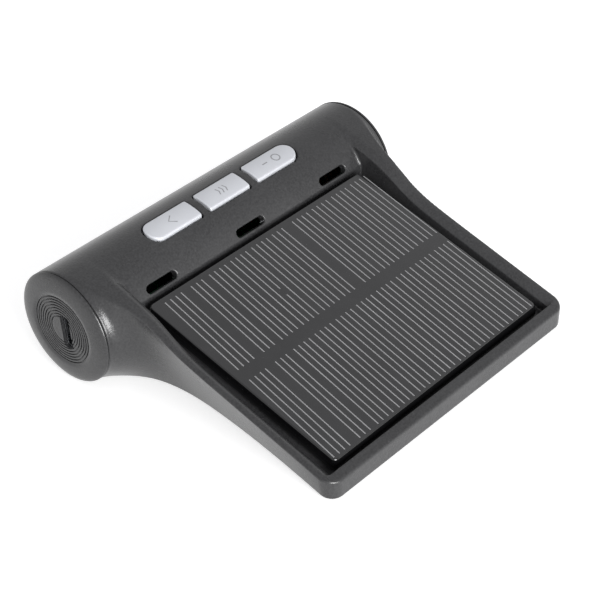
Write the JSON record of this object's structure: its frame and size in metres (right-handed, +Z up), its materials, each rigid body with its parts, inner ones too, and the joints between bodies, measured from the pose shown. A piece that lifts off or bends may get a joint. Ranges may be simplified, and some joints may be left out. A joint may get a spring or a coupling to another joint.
{
  "type": "tire pressure monitor",
  "caption": "Dashboard tyre pressure monitor: a round display barrel with push buttons and a charging port, on a sloping wedge that holds a solar panel.",
  "frame": {"origin": "middle of the bounding box's base, on the surface that the monitor stands on", "axes": "+X along the barrel away from the charging port, +Y towards the reader of the display, +Z up"},
  "size_m": [0.0864, 0.0756, 0.0247],
  "materials": {
    "case_plastic": "fine textured dark grey moulding",
    "button_silver": "satin silver paint",
    "window_plastic": "smoked, polished",
    "epoxy_gloss": "glossy clear layer over dark cells",
    "cell_dark": "dark silicon with thin light grid lines",
    "panel_board": "black laminate",
    "board_green": "green solder mask",
    "chip_black": "moulded black",
    "plated_steel": "plated",
    "white_plastic": "white moulding",
    "lcd": "dark display glass",
    "pouch_foil": "wrapped foil pouch",
    "coil_wire": "bare spring wire",
    "rubber_black": "soft matt",
    "foam_tape": "foam",
    "lead_red": "insulated wire",
    "lead_black": "insulated wire"
  },
  "bodies": {
    "case": {"top_shell": "case_plastic", "bottom_cover": "case_plastic", "anti_slip_pad": "rubber_black", "cover_screw_1": "plated_steel", "cover_screw_2": "plated_steel", "cover_screw_3": "plated_steel", "cover_screw_4": "plated_steel", "left_end_cap": "case_plastic", "right_end_cap": "case_plastic", "battery_tape": "foam_tape", "battery": "pouch_foil", "solar_lead_plus": "lead_red", "solar_lead_minus": "lead_black", "battery_lead_plus": "lead_red", "battery_lead_minus": "lead_black", "display_window": "window_plastic", "lcd_glass": "lcd", "backlight": "white_plastic", "lcd_frame": "white_plastic", "contact_strip": "rubber_black", "main_board": "board_green", "usb_shell": "plated_steel", "usb_tongue": "chip_black", "microcontroller": "chip_black", "receiver_chip": "chip_black", "charge_chip": "chip_black", "crystal": "plated_steel", "battery_connector": "white_plastic", "motion_sensor": "coil_wire", "buzzer": "chip_black", "antenna_coil": "coil_wire", "solar_board": "panel_board", "solar_epoxy": "epoxy_gloss", "solar_cell_1": "cell_dark", "solar_cell_2": "cell_dark", "solar_cell_3": "cell_dark", "solar_cell_4": "cell_dark", "solar_cell_5": "cell_dark", "solar_cell_6": "cell_dark", "solar_cell_7": "cell_dark", "solar_cell_8": "cell_dark", "solar_cell_9": "cell_dark", "solar_cell_10": "cell_dark", "switch_left_body": "plated_steel", "switch_middle_body": "plated_steel", "switch_right_body": "plated_steel"},
    "left_button": {"button_left": "button_silver"},
    "left_plunger": {"switch_left_plunger": "chip_black"},
    "middle_button": {"button_middle": "button_silver"},
    "middle_plunger": {"switch_middle_plunger": "chip_black"},
    "right_button": {"button_right": "button_silver"},
    "right_plunger": {"switch_right_plunger": "chip_black"}
  },
  "joints": [
    {"name": "press_left", "type": "slide", "parent": "case", "child": "left_button", "axis": [0, -0.0976, -0.9952], "range_m": [0, 0.00035], "stiffness_N_per_m": 400, "springref_m": -0.001},
    {"name": "plunge_left", "type": "slide", "parent": "case", "child": "left_plunger", "axis": [0, -0.0976, -0.9952], "range_m": [0, 0.00035]},
    {"name": "press_middle", "type": "slide", "parent": "case", "child": "middle_button", "axis": [0, -0.0976, -0.9952], "range_m": [0, 0.00035], "stiffness_N_per_m": 400, "springref_m": -0.001},
    {"name": "plunge_middle", "type": "slide", "parent": "case", "child": "middle_plunger", "axis": [0, -0.0976, -0.9952], "range_m": [0, 0.00035]},
    {"name": "press_right", "type": "slide", "parent": "case", "child": "right_button", "axis": [0, -0.0976, -0.9952], "range_m": [0, 0.00035], "stiffness_N_per_m": 400, "springref_m": -0.001},
    {"name": "plunge_right", "type": "slide", "parent": "case", "child": "right_plunger", "axis": [0, -0.0976, -0.9952], "range_m": [0, 0.00035]}
  ],
  "couplings": [
    {"joint": "plunge_left", "follows": "press_left", "ratio": 1},
    {"joint": "plunge_middle", "follows": "press_middle", "ratio": 1},
    {"joint": "plunge_right", "follows": "press_right", "ratio": 1}
  ]
}
